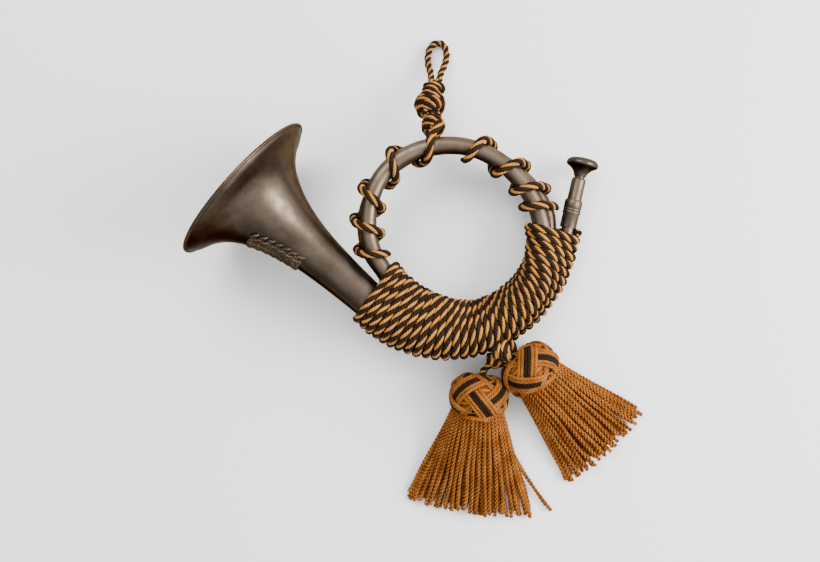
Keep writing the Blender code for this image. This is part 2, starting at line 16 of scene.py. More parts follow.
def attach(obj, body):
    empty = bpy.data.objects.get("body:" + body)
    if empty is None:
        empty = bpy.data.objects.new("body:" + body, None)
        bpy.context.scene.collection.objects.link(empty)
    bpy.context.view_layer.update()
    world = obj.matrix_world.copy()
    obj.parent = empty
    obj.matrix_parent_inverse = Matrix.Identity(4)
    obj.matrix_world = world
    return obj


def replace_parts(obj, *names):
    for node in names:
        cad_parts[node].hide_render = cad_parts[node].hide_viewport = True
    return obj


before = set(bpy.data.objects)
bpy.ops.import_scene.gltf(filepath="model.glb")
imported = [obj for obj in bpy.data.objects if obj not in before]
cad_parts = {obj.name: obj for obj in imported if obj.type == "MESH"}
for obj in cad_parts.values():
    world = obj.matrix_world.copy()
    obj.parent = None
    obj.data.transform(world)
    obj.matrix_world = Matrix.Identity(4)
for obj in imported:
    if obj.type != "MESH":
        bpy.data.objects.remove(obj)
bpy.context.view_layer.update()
rng = np.random.default_rng(7)
MM = 0.001

# ---------------------------------------------------------------- the design's frames and driving sizes

TIP_DEG, TIP_AXIS_DEG, RISE = 11.28, 67.2, 33.67
CENTRE = np.array([30.0, 50.3, 0.0])
UP = np.array([0.0, 0.0, 1.0])

# The coil: turn angle, distance from the centre, height, tube radius
COIL = np.array([
    (4, 93.5, 0.5, 5.0), (39, 89.0, -4.0, 5.15), (78, 89.0, -8.5, 5.3), (97, 82.0, -11.0, 5.35),
    (116, 72.5, -9.8, 5.4), (155, 64.5, -8.0, 5.5), (176, 68.8, -6.5, 5.6), (200, 71.4, -6.5, 5.65),
    (230, 70.8, -6.5, 5.7), (278, 68.8, -6.5, 5.8), (308, 69.8, -6.5, 5.85), (328, 72.2, -6.5, 5.9),
    (343, 75.4, -6.5, 5.95), (360, 78.8, -6.5, 6.0), (399, 73.5, -6.8, 6.2), (438, 69.8, -3.8, 6.4),
    (476, 62.7, 3.0, 6.5), (515, 61.8, 7.0, 6.6), (533, 64.6, 7.0, 6.7), (560, 68.0, 7.0, 6.8),
    (590, 71.2, 7.0, 6.8), (638, 68.4, 7.0, 6.9), (683, 67.0, 7.0, 7.0), (720, 70.4, 7.2, 7.1),
    (759, 76.5, 9.4, 8.5), (798, 83.2, 9.0, 10.2), (836, 85.0, 5.0, 12.3), (860, 85.0, 1.6, 14.2),
], dtype=float)  # fmt: skip
COIL_START_DEG, START_SLOPE, END_SLOPE = 8.0, -0.45, 0.0437
FIRST_TURN, LAST_TURN = COIL[0, 0], COIL[-1, 0]
LEADPIPE_JOINT, COIL_JOINT, TAIL_JOINT = 60.0, 484.0, 806.0
TUBE_WALL, TUBE_GAP = 0.6, 0.15  # the gap on each side of a joint is in degrees of turn

PIPE_DEG, PIPE_END = 77.0, 11.6
RECEIVER = ((12.0, 5.7), (35.2, 5.7), (36.2, 5.5), (37.2, 4.9), (37.2, 4.3), (12.0, 4.3))
RECEIVER_FERRULE = (
    (-3.0, 6.6), (8.0, 6.6), (8.6, 7.1), (9.6, 7.1), (10.2, 6.7), (10.8, 7.1), (11.8, 7.1), (12.4, 6.7),
    (13.0, 7.1), (17.6, 7.1), (19.4, 6.4), (19.4, 6.1), (-3.0, 6.1),
)  # fmt: skip
MOUTHPIECE = (
    (17.0, 3.2), (37.0, 3.9), (38.6, 4.6), (40.6, 5.2), (43.0, 6.6), (45.0, 8.7), (46.5, 11.2), (47.4, 12.4),
    (48.6, 12.7), (50.0, 12.5), (51.6, 11.4), (52.7, 9.8), (52.6, 8.7), (51.0, 8.0), (48.5, 7.2), (46.0, 5.6),
    (44.0, 3.4), (42.4, 1.9), (17.0, 2.3),
)  # fmt: skip

BELL_DEG, BELL_LENGTH, BELL_JOINT, BELL_GAP = 138.2, 147.0, 143.0, 0.2
BELL = (
    (1.0, 66.3), (3.6, 64.2), (6.5, 59.0), (10.5, 51.0), (18.0, 41.8), (27.0, 35.2), (39.0, 29.0),
    (54.0, 23.8), (74.0, 19.6), (97.0, 17.0), (120.0, 15.4), (BELL_JOINT - BELL_GAP, 14.4),
)  # fmt: skip
BELL_WALL, LEAF_SUNK = 0.9, 0.25
RIM_CENTRE, RIM_RADIUS = (0.5, 66.9), 1.35
LEAF_FROM, LEAF_TO, LEAF_MIDDLE_DEG, LEAF_HALF_DEG, LEAF_HEIGHT = 32.0, 76.0, -60.0, 44.0, 3.0
# Leaves of the relief, on a plate that runs from -1 to 1: where a stem's leaves start, and each leaf's place
# to the side, lean in degrees and length. Each pair further on leans LEAF_TURN less.
STEM_COUNT, STEM_FIRST, STEM_STEP, LEAF_TURN = 7, -0.95, 0.26, 4
LEAF_ROWS = ((0.04, 56, 0.78), (0.5, 66, 0.5))
TIP_LEAF = (0.2, 0.0, 0.0, 0.75)
LEAF_MARGIN = 0.97

BINDING_FROM_DEG, BINDING_TO_DEG, BINDING_SLANT, SLANT_SHARE = 2.5, -141.7, (-12.3, 18.3), 0.2
BINDING_LIFT, BINDING_TURNS = 3.5, 33
BINDING_RADIUS, BINDING_WIDENING = 78.0, 2.0
LEFT_PASSES = (98.5, 125.0, 152.5, 173.0, 191.5, 211.0)
RIGHT_PASSES = (97.0, 67.0, 43.0, 25.6, 13.5, 0.0)
LEFT_TURNS, RIGHT_TURNS = (0.0, 4.42), (0.55, 4.02)
LEFT_LEAD_IN, LEAD_IN_OVER = [(-9.5, 86.5, 9.0), (-8.6, 82.0, 14.0)], 6

CHAIN_DROP_DEG = 25.0
KNOTS = {
    "lower_knot": ((-16.6, 88.8, 36.0), (9.2, 9.2, 8.0)),
    "middle_knot": ((-20.6, 108.5, 28.0), (10.8, 12.2, 9.6)),
    "upper_knot": ((-18.8, 123.7, 20.4), (5.4, 9.4, 7.0)),
}
LOOP_MIDDLE_X, LOOP_DIAMETER = -17.0, 0.0052  # the diameter is in metres
LOOP_SIDE = (
    (130.2, 3.3, 15.4), (137.0, 4.4, 12.0), (146.0, 7.2, 8.2), (154.0, 8.0, 5.4), (161.6, 6.2, 3.9),
    (165.2, 2.4, 3.3),
)  # fmt: skip

TASSEL_KNOT_DEG = -71.6
# The two parts of the tassel knot: distance, angle on from the knot, height, half sizes, wraps and lean
TASSEL_KNOT_PARTS = (
    (107.0, 0.0, 8.0, (9.0, 7.5, 8.0), 2.5, 1.6),
    (101.5, 5.5, 15.0, (9.5, 11.0, 9.5), 3.2, -4.0),
)
# Tassels: the head's place and bearing, where its cord starts, how far its strands reach, the skirt's width
TASSELS = {
    "left": ((20.6, -130.6), -96.5, (28.5, -106.5, 26.0), 94.0, 104.0),
    "right": ((61.1, -108.9), -47.0, (41.5, -98.7, 26.0), 87.0, 82.0),
}
HEAD_HEIGHT, HEAD_RADIUS, HEAD_HALF = 22.5, 22.5, 17.0
HEAD_LEADS, HEAD_BIGHTS, HEAD_WEAVE, HEAD_WRAP_DEG = 5, 4, 1.5, 98
HEAD_START = {"left": 0.35, "right": 1.1}  # where each weave starts round its head, in radians
# Yarns of a band of the weave: place across the band and tone; then one yarn's ply and the barrel under it
HEAD_YARNS = ((-6.4, 0.0), (-3.8, 0.0), (-1.2, 1.0), (1.2, 1.0), (3.8, 0.0), (6.4, 0.0))
HEAD_PLY, HEAD_PLY_OFF, HEAD_PLY_PITCH, BAND_CURVE = 0.88, 0.58, 7.0, 0.02
# The barrel under the weave is mixed a little toward black, as painted shade between the bands
BARREL_LIFT, BARREL_SHADE_TONE, BARREL_REACH = -1.1, 0.15, 1.75
# Layers of a skirt: strands, how deep in the neck they start, share of the width, height of the middle's end
SKIRT_LAYERS = {
    "left": ((20, 0.0, 1.0, 10.4), (21, 0.6, 1.0, 7.4), (22, 1.1, 0.98, 4.6), (24, 0.0, 0.98, 2.0)),
    "right": ((17, 0.0, 1.0, 11.6), (18, 0.6, 1.0, 8.0), (18, 1.1, 0.97, 4.8), (21, 0.0, 0.98, 2.0)),
}
SKIRT_SWEEP_DEG, UNDER_HEIGHT, NECK_RADIUS, NECK_STEP, STRAND_START = 88, 3.0, 17.6, 4.2, 9.0
STRAY_STRANDS, STRAY_DEG, STRAY_OUT = (0.0, 3.2), 84, 12.0
CORD_INTO_KNOT, CORD_INTO_HEAD = 4.0, 14.0

# Cord of two gold and two thicker black strands: tone and radius of each, how far they lie from the cord's
# middle, and the length of one full twist
STRANDS = ((0.0, 1.3), (1.0, 1.9), (0.0, 1.3), (1.0, 1.9))
STRAND_OFF, CORD_RADIUS = 1.72, 3.4
BINDING_PITCH, WINDING_PITCH, LOOP_PITCH = 23.5, 25.0, 13.6

KNOT_CORD, LOOP_CORD = 0.84, 0.84  # the cord is drawn tighter in the knots and the loop

# Tassel yarn: radius of one ply, its distance from the strand's middle, and its twist
PLY, PLY_OFF, PLY_PITCH = 0.88, 0.82, 6.4


# ---------------------------------------------------------------- curves


def direction(degrees):
    a = np.radians(degrees)
    return np.stack([np.cos(a), np.sin(a), np.zeros_like(a)], axis=-1)


def horn_matrix():
    tip = Matrix.Rotation(math.radians(TIP_DEG), 4, Vector(direction(TIP_AXIS_DEG)))
    place = Matrix.Translation(Vector(CENTRE + RISE * UP))
    return np.array(place @ tip)


HORN = horn_matrix()


def on_horn(points):
    """From the coil frame to the row frame, in millimetres."""
    return np.asarray(points, dtype=float) @ HORN[:3, :3].T + HORN[:3, 3]


def on_surface(points):
    """From the surface frame to the row frame, in millimetres."""
    return np.asarray(points, dtype=float) + CENTRE


def coil_slopes():
    slopes = np.zeros((len(COIL), 3))
    slopes[1:-1] = (COIL[2:, 1:] - COIL[:-2, 1:]) / (COIL[2:, :1] - COIL[:-2, :1])
    slopes[0] = (COIL[1, 1:] - COIL[0, 1:]) / (COIL[1, 0] - COIL[0, 0])
    slopes[0, 0] = START_SLOPE
    slopes[-1] = (0.0, 0.0, END_SLOPE)
    return slopes


SLOPES = coil_slopes()


def coil_values(turns):
    """Distance from the centre, height and tube radius at turn angles."""
    turns = np.atleast_1d(np.asarray(turns, dtype=float))
    i = np.clip(np.searchsorted(COIL[:, 0], turns, side="right") - 1, 0, len(COIL) - 2)
    span = (COIL[i + 1, 0] - COIL[i, 0])[:, None]
    t = (turns[:, None] - COIL[i, :1]) / span
    return (
        (2 * t**3 - 3 * t**2 + 1) * COIL[i, 1:]
        + (t**3 - 2 * t**2 + t) * span * SLOPES[i]
        + (3 * t**2 - 2 * t**3) * COIL[i + 1, 1:]
        + (t**3 - t**2) * span * SLOPES[i + 1]
    )


def coil_points(turns):
    """The tube's middle line, carried straight on past both ends of the coil."""
    turns = np.atleast_1d(np.asarray(turns, dtype=float))
    inside = np.clip(turns, FIRST_TURN, LAST_TURN)
    values = coil_values(inside)
    points = values[:, :1] * direction(COIL_START_DEG - inside) + values[:, 1:2] * UP
    before = np.clip(FIRST_TURN - turns, 0, None)[:, None]
    after = np.clip(turns - LAST_TURN, 0, None)[:, None]
    return points + before * 1.6 * direction(PIPE_DEG) + after * 1.48 * direction(BELL_DEG)


def smooth_route(points, spacing):
    """Points at an even spacing on a Catmull-Rom curve through a route."""
    p = np.array(points, dtype=float)
    p = np.vstack([2 * p[0] - p[1], p, 2 * p[-1] - p[-2]])
    t = np.linspace(0, 1, 24, endpoint=False)[:, None]
    pieces = [
        0.5 * (2 * b + (c - a) * t + (2 * a - 5 * b + 4 * c - d) * t**2 + (3 * b - a - 3 * c + d) * t**3)
        for a, b, c, d in zip(p[:-3], p[1:-2], p[2:-1], p[3:], strict=True)
    ]
    return evenly(np.vstack([*pieces, p[-2:-1]]), spacing)


def evenly(points, spacing):
    run = np.concatenate([[0], np.cumsum(np.linalg.norm(np.diff(points, axis=0), axis=1))])
    at = np.linspace(0, run[-1], max(3, int(round(run[-1] / spacing)) + 1))
    return np.stack([np.interp(at, run, points[:, k]) for k in range(points.shape[1])], axis=1)


def unit(v):
    return v / np.linalg.norm(v, axis=-1, keepdims=True)


def moving_frames(path):
    """Tangents and two steady cross directions along a path."""
    tangents = unit(np.gradient(path, axis=0))
    first = np.cross(tangents[0], UP if abs(tangents[0][2]) < 0.9 else np.array([1.0, 0, 0]))
    normals = [first / np.linalg.norm(first)]
    for t in tangents[1:]:
        n = normals[-1] - np.dot(normals[-1], t) * t
        normals.append(n / np.linalg.norm(n))
    normals = np.array(normals)
    return tangents, normals, np.cross(tangents, normals)


# ---------------------------------------------------------------- meshes


class Pieces:
    """Gathers tubes and sheets into one mesh, with a lengthwise map, a tone for each tube, and how deep
    each vertex lies: 0 on the outside of its cord, near 1 between the cord's strands."""

    def __init__(self):
        self.verts, self.quads, self.maps, self.tones, self.depths, self.caps = [], [], [], [], [], []
        self.count = 0

    def grid(self, points, around, tone=0.0, caps=False, lengths=None, depth=None):
        """points is rows x columns x 3; around joins the last column to the first."""
        rows, columns = points.shape[:2]
        i, k = np.meshgrid(np.arange(rows - 1), np.arange(columns if around else columns - 1), indexing="ij")
        n = (k + 1) % columns
        base = self.count
        here, next_row = i * columns, (i + 1) * columns
        quads = np.stack([here + k, here + n, next_row + n, next_row + k], axis=-1)
        lengths = np.arange(rows, dtype=float) if lengths is None else lengths
        u, w = k / columns, (k + 1) / columns
        corners = np.stack(
            [np.stack([a, lengths[b]], axis=-1) for a, b in ((u, i), (w, i), (w, i + 1), (u, i + 1))], axis=-2
        )
        self.verts.append(points.reshape(-1, 3))
        self.quads.append(quads.reshape(-1, 4) + base)
        self.maps.append(corners.reshape(-1, 2))
        self.tones.append(np.full(rows * columns, tone))
        self.depths.append(np.zeros(rows * columns) if depth is None else depth.ravel())
        if caps:
            self.caps.append([base + c for c in range(columns)][::-1])
            self.caps.append([base + (rows - 1) * columns + c for c in range(columns)])
        self.count += rows * columns

    def tube(self, path, radius, sides, tone=0.0, core=None):
        """A round-ended tube; core is the middle line of the cord that it is a strand of."""
        path = np.asarray(path, dtype=float)
        radius = np.broadcast_to(radius, len(path)).astype(float)
        tangents, normals, sideways = moving_frames(path)
        first = path[0] - tangents[0] * radius[0] * 0.5
        last = path[-1] + tangents[-1] * radius[-1] * 0.5
        path = np.vstack([first, path, last])
        radius = np.concatenate([[radius[0] * 0.45], radius, [radius[-1] * 0.45]])
        normals = np.vstack([normals[:1], normals, normals[-1:]])
        sideways = np.vstack([sideways[:1], sideways, sideways[-1:]])
        a = 2 * np.pi * np.arange(sides) / sides
        ring = np.cos(a)[None, :, None] * normals[:, None] + np.sin(a)[None, :, None] * sideways[:, None]
        points = path[:, None] + radius[:, None, None] * ring
        steps = np.linalg.norm(np.diff(path, axis=0), axis=1)
        depth = None
        if core is not None:
            core = np.vstack([core[:1], core, core[-1:]])
            away = np.linalg.norm(points - core[:, None], axis=-1)
            reach = np.linalg.norm(path - core, axis=-1)[:, None] + radius[:, None]
            depth = 1 - np.clip(away / reach, 0, 1)
        self.grid(points, True, tone, True, np.concatenate([[0], np.cumsum(steps)]), depth)

    def twisted(self, path, strands, off, pitch, sides, phase=0.0):
        """Strands (tone, radius) laid round one another along a path."""
        _, normals, sideways = moving_frames(path)
        steps = np.linalg.norm(np.diff(path, axis=0), axis=1)
        run = np.concatenate([[0], np.cumsum(steps)])
        for k, (tone, radius) in enumerate(strands):
            a = (2 * np.pi * (run / pitch + k / len(strands)) + phase)[:, None]
            middle = path + off * (np.cos(a) * normals + np.sin(a) * sideways)
            self.tube(middle, radius, sides, tone, path)

    def cord(self, path, pitch, sides, scale=1.0, phase=0.0):
        strands = [(tone, radius * scale) for tone, radius in STRANDS]
        self.twisted(path, strands, STRAND_OFF * scale, pitch, sides, phase)

    def make(self, name, material, body):
        mesh = bpy.data.meshes.new(name)
        quads = np.vstack(self.quads)
        verts = np.vstack(self.verts) * MM
        mesh.from_pydata(verts.tolist(), [], quads.tolist() + self.caps)
        layer = mesh.uv_layers.new(name="along")
        corners = np.zeros((len(mesh.loops), 2))
        corners[: quads.size] = np.vstack(self.maps)
        layer.data.foreach_set("uv", corners.ravel())
        for label, values in (("tone", self.tones), ("depth", self.depths)):
            attribute = mesh.attributes.new(label, "FLOAT", "POINT")
            attribute.data.foreach_set("value", np.concatenate(values))
        mesh.shade_smooth()
        mesh.materials.append(material)
        obj = bpy.data.objects.new(name, mesh)
        bpy.context.scene.collection.objects.link(obj)
        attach(obj, body)
        return obj


def ring_grid(stations, sides):
    """Rings of points round (centre, tangent, radius) stations of the coil frame, in the row frame."""
    rings = []
    a = 2 * np.pi * np.arange(sides) / sides
    for centre, along, radius in stations:
        side = unit(np.cross(along, UP))
        over = np.cross(side, along)
        rings.append(centre + radius * (np.cos(a)[:, None] * side + np.sin(a)[:, None] * over))
    return on_horn(np.array(rings))


def lathe(name, profile, base, along, sides, material, body="horn"):
    """A closed outline of (length, radius) points turned round an axis."""
    stations = [(base + s * along, along, r) for s, r in [*profile, profile[0]]]
    piece = Pieces()
    piece.grid(ring_grid(stations, sides), True)
    obj = piece.make(name, material, body)
    weld_and_face_out(obj, sharp_deg=40)
    return obj


def weld_and_face_out(obj, sharp_deg):
    work = bmesh.new()
    work.from_mesh(obj.data)
    bmesh.ops.remove_doubles(work, verts=work.verts, dist=1e-7)
    bmesh.ops.recalc_face_normals(work, faces=work.faces)
    if work.calc_volume(signed=True) < 0:
        bmesh.ops.reverse_faces(work, faces=work.faces)
    work.to_mesh(obj.data)
    work.free()
    obj.data.shade_smooth()
    obj.data.set_sharp_from_angle(angle=math.radians(sharp_deg))


def tube_shell(name, stations, sides, material):
    """A brass tube with a real bore."""
    inner = [(c, t, r - TUBE_WALL) for c, t, r in stations]
    piece = Pieces()
    piece.grid(ring_grid([*stations, *inner[::-1], stations[0]], sides), True)
    obj = piece.make(name, material, "horn")
    weld_and_face_out(obj, sharp_deg=50)
    return obj


def coil_stations(start, stop, step=2.0):
    turns = np.linspace(start, stop, max(2, int((stop - start) / step)) + 1)
    points, ahead, behind = coil_points(turns), coil_points(turns + 0.3), coil_points(turns - 0.3)
    return list(zip(points, unit(ahead - behind), coil_values(turns)[:, 2], strict=True))


# ---------------------------------------------------------------- materials


def new_material(slot):
    """A new material that remembers the record's slot that it finishes."""
    made = bpy.data.materials.new(slot)
    made["slot"] = slot
    made.use_nodes = True
    nodes, links = made.node_tree.nodes, made.node_tree.links
    return made, nodes, links, nodes["Principled BSDF"]


def noise(nodes, links, scale, detail, coordinates):
    made = nodes.new("ShaderNodeTexNoise")
    made.inputs["Scale"].default_value = scale
    made.inputs["Detail"].default_value = detail
    links.new(coordinates, made.inputs["Vector"])
    return made.outputs["Fac"]


def ramp(nodes, links, factor, stops):
    made = nodes.new("ShaderNodeValToRGB")
    elements = made.color_ramp.elements
    while len(elements) < len(stops):
        elements.new(0.5)
    for element, (at, colour) in zip(elements, stops, strict=True):
        element.position = at
        element.color = (*colour, 1.0)
    links.new(factor, made.inputs["Fac"])
    return made.outputs["Color"]


def math_node(nodes, links, operation, first, second):
    made = nodes.new("ShaderNodeMath")
    made.operation = operation
    for socket, value in zip(made.inputs, (first, second), strict=False):
        if isinstance(value, (int, float)):
            socket.default_value = value
        else:
            links.new(value, socket)
    return made.outputs["Value"]


def mix_colours(nodes, links, factor, first, second, blend="MIX"):
    made = nodes.new("ShaderNodeMix")
    made.data_type = "RGBA"
    made.blend_type = blend
    for socket, value in ((made.inputs[0], factor), (made.inputs[6], first), (made.inputs[7], second)):
        if isinstance(value, (int, float)):
            socket.default_value = value
        elif isinstance(value, tuple):
            socket.default_value = (*value, 1.0)
        else:
            links.new(value, socket)
    return made.outputs[2]


def bump(nodes, links, height, distance, shader, strength=1.0):
    made = nodes.new("ShaderNodeBump")
    made.inputs["Distance"].default_value = distance
    made.inputs["Strength"].default_value = strength
    links.new(height, made.inputs["Height"])
    links.new(made.outputs["Normal"], shader.inputs["Normal"])


# Painted shade: how the colour darkens from a cord's outside into the crevices between its strands
CREVICE_SHADE = ((0.12, (1.0, 1.0, 1.0)), (0.55, (0.13, 0.09, 0.06)))
SHADED_SIDE = (-0.3, -0.92, -0.2)  # painted shade: surfaces that face this way, on the side away from the loop, are darkened


def aged_and_shaded_brass(name, dark, light, roughness, shade_tint=(0.15, 0.12, 0.10)):
    """Satin brass under an aged brown lacquer: slow colour drifts, small stains, a faint hammered feel, and
    painted shade darkening the side away from the loop.
    """
    made, nodes, links, shader = new_material(name)
    where = nodes.new("ShaderNodeTexCoord").outputs["Object"]
    drift = noise(nodes, links, 28, 3, where)
    stain = noise(nodes, links, 120, 3, where)
    colour = ramp(nodes, links, drift, ((0.32, dark), (0.68, light)))
    spots = ramp(nodes, links, stain, ((0.36, (0.66, 0.60, 0.54)), (0.54, (1.0, 1.0, 1.0))))
    aged = mix_colours(nodes, links, 0.5, colour, spots, "MULTIPLY")
    # painted shade: the colour is darkened on surfaces that face away from the loop
    under = nodes.new("ShaderNodeVectorMath")
    under.operation = "DOT_PRODUCT"
    links.new(nodes.new("ShaderNodeTexCoord").outputs["Normal"], under.inputs[0])
    under.inputs[1].default_value = SHADED_SIDE
    painted_shade = ramp(nodes, links, under.outputs["Value"], ((0.12, (1.0, 1.0, 1.0)), (0.72, shade_tint)))
    links.new(mix_colours(nodes, links, 1.0, aged, painted_shade, "MULTIPLY"), shader.inputs["Base Color"])
    shader.inputs["Metallic"].default_value = 1.0
    shader.inputs["Specular Tint"].default_value = (0.42, 0.38, 0.34, 1)
    low, high = roughness
    rough = nodes.new("ShaderNodeMapRange")
    rough.inputs["To Min"].default_value, rough.inputs["To Max"].default_value = high, low
    rough.inputs["From Min"].default_value, rough.inputs["From Max"].default_value = 0.35, 0.65
    links.new(stain, rough.inputs["Value"])
    links.new(rough.outputs["Result"], shader.inputs["Roughness"])
    bump(nodes, links, drift, 0.00012, shader, 0.5)
    return made


def yarn(name, main, other, threads, thread_length):
    """Spun thread: tone picks the dye, and fine ribs run round each strand at the thread's own twist, both as
    bumps and as painted shade and highlight in the colour.
    """
    made, nodes, links, shader = new_material(name)
    tone = nodes.new("ShaderNodeAttribute")
    tone.attribute_name = "tone"
    uv = nodes.new("ShaderNodeUVMap")
    uv.uv_map = "along"
    parts = nodes.new("ShaderNodeSeparateXYZ")
    links.new(uv.outputs["UV"], parts.inputs["Vector"])
    around = math_node(nodes, links, "MULTIPLY", parts.outputs["X"], float(threads))
    along = math_node(nodes, links, "DIVIDE", parts.outputs["Y"], thread_length)
    phase = math_node(nodes, links, "MULTIPLY", math_node(nodes, links, "ADD", around, along), 2 * math.pi)
    rib = math_node(nodes, links, "SINE", phase, 0.0)
    where = nodes.new("ShaderNodeTexCoord").outputs["Object"]
    fine = noise(nodes, links, 1500, 3, where)
    slow = noise(nodes, links, 90, 2, where)
    dyes_with_rib_shade = []
    for low, mid, high in (main, other):
        # painted shade and highlight: the rib moves the colour between the dye's shaded and lit tones
        ribbed = math_node(nodes, links, "MULTIPLY_ADD", rib, 0.16)
        ribbed.node.inputs[2].default_value = 0.5
        shade = math_node(nodes, links, "ADD", ribbed, math_node(nodes, links, "MULTIPLY", slow, 0.5))
        shade = math_node(nodes, links, "SUBTRACT", shade, 0.25)
        dyes_with_rib_shade.append(ramp(nodes, links, shade, ((0.2, low), (0.5, mid), (0.8, high))))
    dye_and_rib_shade = mix_colours(nodes, links, tone.outputs["Fac"], dyes_with_rib_shade[0], dyes_with_rib_shade[1])
    depth = nodes.new("ShaderNodeAttribute")
    depth.attribute_name = "depth"
    # painted shade in the crevices between strands, read from each vertex's depth
    painted_crevice = ramp(nodes, links, depth.outputs["Fac"], CREVICE_SHADE)
    links.new(mix_colours(nodes, links, 1.0, dye_and_rib_shade, painted_crevice, "MULTIPLY"), shader.inputs["Base Color"])
    shader.inputs["Roughness"].default_value = 0.82
    shader.inputs["Specular IOR Level"].default_value = 0.08
    bump(nodes, links, math_node(nodes, links, "ADD", rib, fine), 0.00016, shader, 0.9)
    return made


def turned_wood():
    made, nodes, links, shader = new_material("turned_wood")
    where = nodes.new("ShaderNodeTexCoord").outputs["Object"]
    grain = noise(nodes, links, 300, 4, where)
    colour = ramp(nodes, links, grain, ((0.3, (0.36, 0.22, 0.11)), (0.7, (0.52, 0.35, 0.2))))
    links.new(colour, shader.inputs["Base Color"])
    shader.inputs["Roughness"].default_value = 0.7
    bump(nodes, links, grain, 0.0002, shader)
    return made


# Brass finishes: slot, dark and light tones, lowest and highest roughness, and the tint of the painted shade
# on the side away from the loop
TUBE_BRASS = ("antique_brass", (0.112, 0.080, 0.056), (0.170, 0.130, 0.094), (0.36, 0.43))
BELL_BRASS = ("antique_brass", (0.070, 0.051, 0.037), (0.118, 0.092, 0.070), (0.31, 0.38))
FITTINGS_BRASS = (
    "brass_fittings", (0.064, 0.046, 0.032), (0.120, 0.092, 0.067), (0.36, 0.45), (0.6, 0.5, 0.42),
)  # fmt: skip
MOUTHPIECE_BRASS = ("mouthpiece_brass", (0.052, 0.038, 0.027), (0.094, 0.072, 0.053), (0.30, 0.40))

# Dyes of the yarns: shaded, middle and lit tone
GOLD = ((0.22, 0.068, 0.008), (0.40, 0.165, 0.030), (0.55, 0.27, 0.068))
BLACK = ((0.007, 0.003, 0.001), (0.014, 0.007, 0.003), (0.028, 0.015, 0.007))
AMBER = ((0.095, 0.021, 0.002), (0.205, 0.061, 0.008), (0.46, 0.18, 0.040))


# ---------------------------------------------------------------- brass


def bell_frame():
    return coil_points(LAST_TURN)[0] + BELL_LENGTH * direction(BELL_DEG), -direction(BELL_DEG)


def bell_profile():
    return smooth_route([(s, r, 0) for s, r in BELL], 1.6)[:, :2]


def make_tubes(brass, fittings):
    """The leadpipe, the two coils and the receiver that the mouthpiece slides in."""
    pipe_base, pipe_way = coil_points(FIRST_TURN)[0], direction(PIPE_DEG)
    straight = [(pipe_base + s * pipe_way, -pipe_way, COIL[0, 3]) for s in np.linspace(PIPE_END, 0.8, 5)]
    pipe = straight + coil_stations(FIRST_TURN, LEADPIPE_JOINT - TUBE_GAP)
    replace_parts(tube_shell("leadpipe_tube", pipe, 40, brass), "leadpipe")
    for name, start, stop in (
        ("first_coil_tube", LEADPIPE_JOINT + TUBE_GAP, COIL_JOINT - TUBE_GAP),
        ("second_coil_tube", COIL_JOINT + TUBE_GAP, TAIL_JOINT - TUBE_GAP),
    ):
        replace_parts(tube_shell(name + "_smooth", coil_stations(start, stop), 40, brass), name)
    for name, profile, node in (
        ("receiver_sleeve", RECEIVER, "mouthpiece_receiver"),
        ("receiver_rings", RECEIVER_FERRULE, "receiver_ferrule"),
    ):
        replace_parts(lathe(name, profile, pipe_base, pipe_way, 64, fittings), node)


def make_bell(brass, fittings):
    """The bell's tail, its flare with a real wall, and the wire bead rolled into its rim."""
    mouth, back = bell_frame()
    tail = coil_stations(TAIL_JOINT + TUBE_GAP, LAST_TURN)
    tail.append((mouth + (BELL_JOINT + BELL_GAP) * back, -back, BELL[-1][1]))
    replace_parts(tube_shell("bell_tail_smooth", tail, 48, brass), "bell_tail")
    outside = bell_profile()
    slope = unit(np.gradient(outside, axis=0))
    inside = outside - BELL_WALL * np.stack([-slope[:, 1], slope[:, 0]], axis=1)
    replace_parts(lathe("bell_smooth", [*outside, *inside[::-1]], mouth, back, 160, brass), "bell")
    turn = 2 * np.pi * np.arange(18) / 18
    x, r = RIM_CENTRE
    bead = [(x + RIM_RADIUS * math.cos(a), r + RIM_RADIUS * math.sin(a)) for a in turn]
    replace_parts(lathe("bell_rim_bead", bead, mouth, back, 160, fittings), "bell_rim")


def make_mouthpiece(material):
    base, way = coil_points(FIRST_TURN)[0], direction(PIPE_DEG)
    curve = smooth_route([(s, r, 0) for s, r in MOUTHPIECE], 0.7)[:, :2]
    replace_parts(lathe("mouthpiece_turned", list(curve), base, way, 72, material, "mouthpiece"), "mouthpiece")


def leaf_height(x, y):
    """Height of a spray of plain leaves over a plate: x runs along the bell and y across it, both -1 to 1."""
    height = np.zeros_like(x)
    leaves = [TIP_LEAF]
    for k in range(STEM_COUNT):
        for side in (-1, 1):
            for place, lean, length in LEAF_ROWS:
                lean_here = side * (lean - LEAF_TURN * k)
                leaves.append((STEM_FIRST + STEM_STEP * k, side * place, lean_here, length))
    for stem_x, stem_y, lean, length in leaves:
        a = math.radians(lean)
        along = (x - stem_x) * math.cos(a) + (y - stem_y) * math.sin(a)
        across = -(x - stem_x) * math.sin(a) + (y - stem_y) * math.cos(a)
        t = np.clip(along / length, 0, 1)
        half = 0.24 * length * np.sin(np.pi * t**0.8) + 1e-4
        inside = (along > 0) & (along < length) & (np.abs(across) < half)
        body = np.sqrt(np.clip(1 - (across / half) ** 2, 0, 1))
        vein = 0.35 * np.exp(-((across / 0.022) ** 2)) + 0.12 * np.cos(26 * (along + 0.9 * np.abs(across)))
        height = np.maximum(height, np.where(inside, body * (0.5 + 0.4 * t) - vein * body, 0))
    return height


